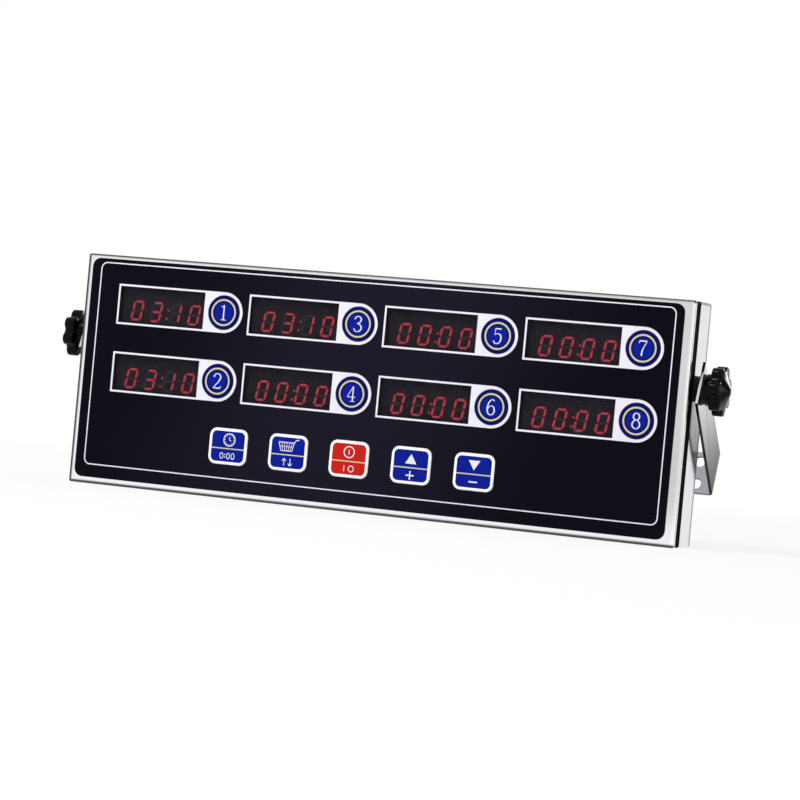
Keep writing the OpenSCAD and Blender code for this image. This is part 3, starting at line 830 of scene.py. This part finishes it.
for name, strokes in pictures.items():
    key_x, key_z = middle_of(name)
    cap = copy_of(square_cap, f"{name}_cap")
    if name == "power_key":
        cap.material_slots[picture_slot].material = red_ink
    stand_up(cap, key_x, steel_front, key_z)
    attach(cap, name)
    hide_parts(name)
    "key_red" if name == "power_key" else "key_blue"
    mark = pen_print(f"{name}_mark", strokes, mark_unit, mark_weight)
    stand_up(mark, key_x, mark_front, key_z)
    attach(mark, name)
for name, way in (("plus_key", 1), ("minus_key", -1)):
    key_x, key_z = middle_of(name)
    arrow = triangle(f"{name}_arrow", way)
    stand_up(arrow, key_x, steel_front - key_front, key_z)
    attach(arrow, name)
bpy.data.objects.remove(square_cap)


# Case screws
# Four zinc plated pan-head screws with a cross recess hold the rear tray to its pillars.
# The heads are cold formed, so they have a domed top and a soft rim.
screw_head_r, screw_head_t = 0.00275, 0.0020
screw_r, screw_l = 0.0015, 0.0100
screw_dome_r = 0.0013
recess_l, recess_w, recess_h = 0.0028, 0.0006, 0.0022
low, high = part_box("case_screws")
screw_xs = (low.x + screw_head_r, high.x - screw_head_r)
screw_zs = (low.z + screw_head_r, high.z - screw_head_r)

bpy.ops.object.select_all(action="DESELECT")
bpy.ops.mesh.primitive_cylinder_add(
    vertices=48, radius=screw_head_r, depth=screw_head_t, location=(0, 0, screw_head_t / 2))
pan_screw = bpy.context.object
settle()
bpy.ops.object.mode_set(mode="EDIT")
pick(pan_screw, "EDGE", lambda edge: all(point.co.z > screw_head_t * 0.9 for point in edge.verts))
bpy.ops.mesh.bevel(affect="EDGES", offset=screw_dome_r, segments=6)
pick(pan_screw, "FACE", lambda face: face.normal.z < -0.99)
extrude((0, 0, 0))
shank_share = screw_r / screw_head_r
bpy.ops.transform.resize(value=(shank_share, shank_share, 1), center_override=(0, 0, 0))
extrude((0, 0, -screw_l))
leave_edit()
for bar in ((recess_l, recess_w, recess_h), (recess_w, recess_l, recess_h)):
    bpy.ops.object.select_all(action="DESELECT")
    bpy.ops.mesh.primitive_cube_add(size=1, scale=bar, location=(0, 0, screw_head_t))
    cut(pan_screw, bpy.context.object)
take(pan_screw)
bpy.ops.object.shade_smooth_by_angle(angle=smooth_below)
pan_screw.data.materials.append(zinc_plate)
screws = []
for x in screw_xs:
    for z in screw_zs:
        screw = copy_of(pan_screw, "pan_head_screws")
        screw.rotation_euler = (-math.pi / 2, 0, 0)
        screw.location = (x, case_back, z)
        settle()
        screws.append(screw)
bpy.ops.object.select_all(action="DESELECT")
for screw in screws:
    screw.select_set(True)
bpy.context.view_layer.objects.active = screws[0]
bpy.ops.object.join()
screws[0].name = "pan_head_screws"
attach(screws[0], "case")
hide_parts("case_screws")
bpy.data.objects.remove(pan_screw)


# Power inlet and pivot spacers
# Injection moulded black nylon: a barrel inlet in the rear wall, and a flat spacer that
# keeps each bracket arm off the side of the case.
black_nylon = finish(
    "black_nylon", {"Specular IOR Level": 0.2}, moulded(tint(20, 20, 21), tint(13, 13, 14), 0.38, 1500))
dress(black_nylon, "power_jack", "pivot_spacers")


def soften(name, width):
    """Rounds the sharp edges of a solid of the frame."""
    weld = nodes[name].modifiers.new("weld", "WELD")
    weld.merge_threshold = 0.000002
    bevel = nodes[name].modifiers.new("soft_edges", "BEVEL")
    bevel.width = width
    bevel.segments = 2
    bevel.limit_method = "ANGLE"
    bevel.angle_limit = math.radians(40)


edge_round = 0.0003
soften("power_jack", edge_round)
soften("pivot_spacers", edge_round)


# Bracket
# One strip of 1.5 mm stainless, cut with slanted ends, drilled for two wall screws at each
# end and folded into a U. Its arms turn on the knob studs and its edges are deburred.
strip_lean = math.radians(22)
# Where the painted shade climbs the arms, and where it darkens the upper tip
shade_climb_slant = 0.4
shade_climb_low, shade_climb_high = 0.012, 0.09
shaded_tip_low, shaded_tip_high = 0.0862, 0.0885


def bracket_sheet(shade):
    """Bright sheet with painted shade down the arms, on edges that face down and at the upper tip."""
    y, z = place_on(shade, "YZ")
    way_x, way_z = faces_way(shade, "XZ", strip_lean)
    on_arm = shade.maths("GREATER_THAN", shade.maths("ABSOLUTE", way_x), 0.7)
    grain, surface = ground_finish(shade, on_arm)
    # Painted shade: the arms are coloured from dark grey low down to bright near the knobs
    painted_shade_climb = fade(z - shade_climb_slant * y, shade_climb_low, shade_climb_high)
    painted_arm_shade = between(shade, grain, tint(66, 66, 69), tint(78, 78, 81))
    high_arm = between(shade, grain, tint(246, 246, 248), tint(254, 254, 255))
    strip = between(shade, grain, tint(194, 194, 198), tint(214, 214, 217))
    tone = between(shade, on_arm, strip, between(shade, painted_shade_climb, painted_arm_shade, high_arm))
    # Painted shade: dark grey on edges that face down and on the upper tip of the strip
    under = fade(way_z, -0.3, -0.6)
    painted_tip_shade = (1 - on_arm) * fade(z, shaded_tip_low, shaded_tip_high)
    surface["Base Color"] = between(shade, strongest(under, painted_tip_shade), tone, tint(48, 48, 51))
    return surface


strip_stainless = finish(
    "strip_stainless", {"Metallic": 1.0, "Specular Tint": (0.7, 0.7, 0.71, 1)}, bracket_sheet)
dress(strip_stainless, "bracket")
soften("bracket", edge_round)


# Washers and studs
# A black nylon washer lies between each arm and its knob, and a plated steel stud,
# moulded into the knob, passes through it to the nut welded inside the case.
dress(black_nylon, "left_washer", "right_washer")
dress(zinc_plate, "left_stud", "right_stud")
washer_round = 0.0001
soften("left_washer", washer_round)
soften("right_washer", washer_round)


# Star knobs
# Glossy black moulded knobs with seven round lobes, a plain hub towards the arm and a
# conical outer face that ends in a blunt tip.
def knob_gloss(shade):
    wear = mottle(shade, (160, 160, 160), 3.0)
    return {
        "Base Color": between(shade, wear, tint(3, 3, 4), tint(7, 7, 8)),
        "Roughness": 0.07 + 0.08 * wear,
        "Normal": dents(shade, mottle(shade, (1200, 1200, 1200)), 0.06, 0.00003),
    }


knob_plastic = finish("knob_plastic", {"Specular IOR Level": 0.08}, knob_gloss)
lobes = 7
lobe_points = 16
lobe_middle, lobe_r, valley_r = 0.00925, 0.0034, 0.01005
crest_r = lobe_middle + lobe_r
hub_r = 0.0080
hub_in, head_in, head_out, tip_out = 0.0050, 0.0086, 0.0140, 0.0170
cone_r, tip_r = 0.0087, 0.0014
cone_step = 0.0003
rim_bevel, tip_bevel, hub_bevel = 0.0005, 0.0006, 0.0004
lobe_turn = math.radians(7)


def lobe_step(point):
    """How many points a place on the rim is from the middle of its lobe."""
    turn = math.atan2(point.co.y, point.co.x) * lobes * lobe_points / math.tau
    place = round(turn) % lobe_points
    return min(place, lobe_points - place)


def lobe_radius(step):
    """Distance from the knob's axis to its rim, so many points from the middle of a lobe."""
    turn = math.tau / lobes * step / lobe_points
    inside = lobe_r ** 2 - (lobe_middle * math.sin(turn)) ** 2
    if inside < 0:
        return valley_r
    return max(valley_r, lobe_middle * math.cos(turn) + math.sqrt(inside))


def shape_ring(knob, height, scale_at):
    """Scales the points of one level of the knob by their place on a lobe."""
    for step in range(lobe_points // 2 + 1):
        pick(knob, "VERT", lambda point: abs(point.co.z - height) < touching and lobe_step(point) == step)
        scale = scale_at(step)
        bpy.ops.transform.resize(value=(scale, scale, 1), center_override=(0, 0, height))


def grow(knob, height, up, travel):
    """Pulls the flat end of the knob at some height further out."""
    pick(knob, "FACE", lambda face: face.normal.z * up > 0.99
         and abs(face.calc_center_median().z - height) < touching)
    extrude((0, 0, up * travel))


def round_rim(knob, height, near, bevel, steps):
    """Rounds the edges of the knob at some height and outside some radius."""
    def on_rim(point):
        return abs(point.co.z - height) < touching and point.co.xy.length > near
    pick(knob, "EDGE", lambda edge: all(on_rim(point) for point in edge.verts))
    bpy.ops.mesh.bevel(affect="EDGES", offset=bevel, segments=steps)


bpy.ops.object.select_all(action="DESELECT")
bpy.ops.mesh.primitive_circle_add(
    vertices=lobes * lobe_points, radius=crest_r, fill_type="NGON", location=(0, 0, head_in))
star = bpy.context.object
settle()
bpy.ops.object.mode_set(mode="EDIT")
shape_ring(star, head_in, lambda step: lobe_radius(step) / crest_r)
bpy.ops.mesh.select_all(action="SELECT")
extrude((0, 0, head_out - head_in))
bpy.ops.mesh.select_all(action="SELECT")
bpy.ops.mesh.normals_make_consistent(inside=False)
grow(star, head_out, 1, cone_step)
shape_ring(star, head_out + cone_step, lambda step: cone_r / lobe_radius(step))
grow(star, head_out + cone_step, 1, tip_out - head_out - cone_step)
bpy.ops.transform.resize(value=(tip_r / cone_r, tip_r / cone_r, 1), center_override=(0, 0, tip_out))
grow(star, head_in, -1, cone_step)
shape_ring(star, head_in - cone_step, lambda step: hub_r / lobe_radius(step))
grow(star, head_in - cone_step, -1, head_in - cone_step - hub_in)
for height in (head_out, head_in):
    round_rim(star, height, 0.99 * valley_r, rim_bevel, 3)
round_rim(star, tip_out, 0, tip_bevel, 3)
round_rim(star, hub_in, 0, hub_bevel, 2)
bpy.ops.mesh.select_all(action="SELECT")
bpy.ops.mesh.remove_doubles(threshold=touching)
leave_edit()
bpy.ops.object.shade_smooth_by_angle(angle=math.radians(40))
star.data.materials.append(knob_plastic)
pivot = [joint for joint in frame["joints"] if joint["name"] == "bracket_tilt"][0]["pos_m"]
case_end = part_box("rear_case")[1].x
for side, way in (("left", -1), ("right", 1)):
    knob = copy_of(star, f"{side}_star_knob")
    placed = Matrix.Translation((way * case_end, pivot[1], pivot[2]))
    turned = Matrix.Rotation(lobe_turn, 4, "X") @ Matrix.Rotation(way * math.pi / 2, 4, "Y")
    knob.matrix_world = placed @ turned
    settle()
    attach(knob, f"{side}_knob")
    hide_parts(f"{side}_knob")
bpy.data.objects.remove(star)


# Floor, light and camera
# A plain white floor that keeps the shadow, a white surround, one large soft box in front and to
# the left, a strip light overhead, a rim light behind that only shows in shiny surfaces, and a
# long lens from the front right.
def seen_as(shade):
    """Which rays come from the camera, and which come off metal or through a window."""
    from_camera = shade.node("ShaderNodeLightPath", {}, {}, "Is Camera Ray")
    off_metal = shade.node("ShaderNodeLightPath", {}, {}, "Is Glossy Ray")
    through = shade.node("ShaderNodeLightPath", {}, {}, "Is Transmission Ray")
    return from_camera, strongest(off_metal, through)


floor_size = 12
bpy.ops.object.select_all(action="DESELECT")
bpy.ops.mesh.primitive_plane_add(size=floor_size, location=(0, 0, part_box("rear_case")[0].z))
floor = bpy.context.object
floor.name = "floor"
settle()
floor_paper = bpy.data.materials.new("floor_paper")
shade = blank(floor_paper)
paper = between(shade, mottle(shade, (3, 3, 3)), (0.86, 0.86, 0.86, 1), (0.89, 0.89, 0.89, 1))
lit_paper = shade.node("ShaderNodeBsdfDiffuse", {}, {"Color": paper})
white_paper = shade.node("ShaderNodeEmission", {}, {"Color": (1, 1, 1, 1), "Strength": 1.0})
where = shade.node("ShaderNodeTexCoord", {}, {}, "Object")
away = shade.node("ShaderNodeVectorMath", {"operation": "LENGTH"}, {0: where}, "Value")
far_off = fade(away, 0.15, 0.8)
# Shiny pieces mirror the floor darker ahead of the case and behind its right end
floor_x, floor_y = split(where, "XY")
ahead = fade(floor_y, -0.2, -0.5) * fade(floor_x - 0.36 * floor_y, -0.06, 0.06)
to_right = fade(floor_x - 0.6 * floor_y, 0.18, 0.26) * fade(floor_y, -0.05, 0.05)
from_camera, off_metal = seen_as(shade)
dim_paper = shade.node("ShaderNodeEmission", {}, {"Color": (1, 1, 1, 1), "Strength": 0.05})
dim_share = off_metal * (0.42 * ahead + 0.65 * to_right)
seen_paper = shade.node("ShaderNodeMixShader", {}, {0: dim_share, 1: white_paper, 2: dim_paper})
white_share = from_camera * (0.8 + 0.2 * far_off) + off_metal
mixed_paper = shade.node("ShaderNodeMixShader", {}, {0: white_share, 1: lit_paper, 2: seen_paper})
shade.node("ShaderNodeOutputMaterial", {}, {"Surface": mixed_paper})
floor.data.materials.append(floor_paper)

scene = bpy.context.scene
scene.world = bpy.data.worlds.new("surround")
shade = blank(scene.world)
# Shiny pieces mirror these parts of the surround darker, by the direction in which they lie
towards = shade.node("ShaderNodeTexCoord", {}, {}, "Generated")
way_x, way_y, way_z = split(towards, "XYZ")
ceiling = fade(way_z, 0.7, 0.95)
front = fade(way_y, -0.6, -0.8) * fade(way_z, 0.45, 0.2)
front_right = front * fade(way_x, -0.36, -0.28) * fade(way_x, -0.08, -0.2)
upper_front = front * fade(way_z, -0.01, 0.05)
far_right = fade(way_x, 0.65, 0.85) * fade(way_y, 0.1, 0.3)
raised = fade(way_z, 0.04, 0.12) * fade(way_z, 0.6, 0.45)
upper_back = fade(way_x, 0.2, 0.3) * fade(way_y, 0.4, 0.6) * raised
shaded = 0.3 * ceiling + 0.2 * front_right + 0.14 * upper_front + 0.9 * far_right + 0.9 * upper_back
from_camera, off_metal = seen_as(shade)
lighting = shade.node("ShaderNodeBackground", {}, {"Color": (1, 1, 1, 1), "Strength": 0.62})
white_walls = shade.node("ShaderNodeBackground", {}, {"Color": (1, 1, 1, 1), "Strength": 1.0})
dark_corner = shade.node("ShaderNodeBackground", {}, {"Color": (1, 1, 1, 1), "Strength": 0.05})
walls = shade.node("ShaderNodeMixShader", {}, {0: from_camera + off_metal, 1: lighting, 2: white_walls})
surround = shade.node("ShaderNodeMixShader", {}, {0: off_metal * shaded, 1: walls, 2: dark_corner})
shade.node("ShaderNodeOutputWorld", {}, {"Surface": surround})


def lamp(name, place, target, width, height, power):
    """A rectangular soft light at one place that points at another."""
    bpy.ops.object.light_add(type="AREA", location=place)
    light = bpy.context.object
    light.name = name
    light.data.shape = "RECTANGLE"
    light.data.size = width
    light.data.size_y = height
    light.data.energy = power
    light.rotation_euler = (Vector(target) - light.location).to_track_quat("-Z", "Y").to_euler()
    return light


face_middle = (0, 0, 0.06)
near_knob = (0.18, 0, 0.08)
soft_box = lamp("soft_box", (-0.7, -1.5, 1.3), face_middle, 1.6, 1.2, 14)
soft_box.visible_glossy = False
lamp("top_strip", (-0.25, -0.56, 1.05), near_knob, 0.5, 0.2, 4.4)
rim_light = lamp("rim_light", (0.75, 1.9, 0.6), near_knob, 1.0, 0.4, 12)
rim_light.visible_camera = False
rim_light.visible_diffuse = False

# The camera's place and turn, fitted to the four corners of the face in the photograph
bpy.ops.object.camera_add()
camera = bpy.context.object
camera.name = "photo_camera"
camera.matrix_world = Matrix((
    (0.9269, -0.0883, 0.3646, 0.5419),
    (0.3636, -0.0283, -0.9311, -1.3548),
    (0.0926, 0.9957, 0.0059, 0.0682),
    (0, 0, 0, 1),
))
camera.data.sensor_width = 36
camera.data.lens = 127.27
scene.camera = camera
scene.view_settings.view_transform = "Standard"
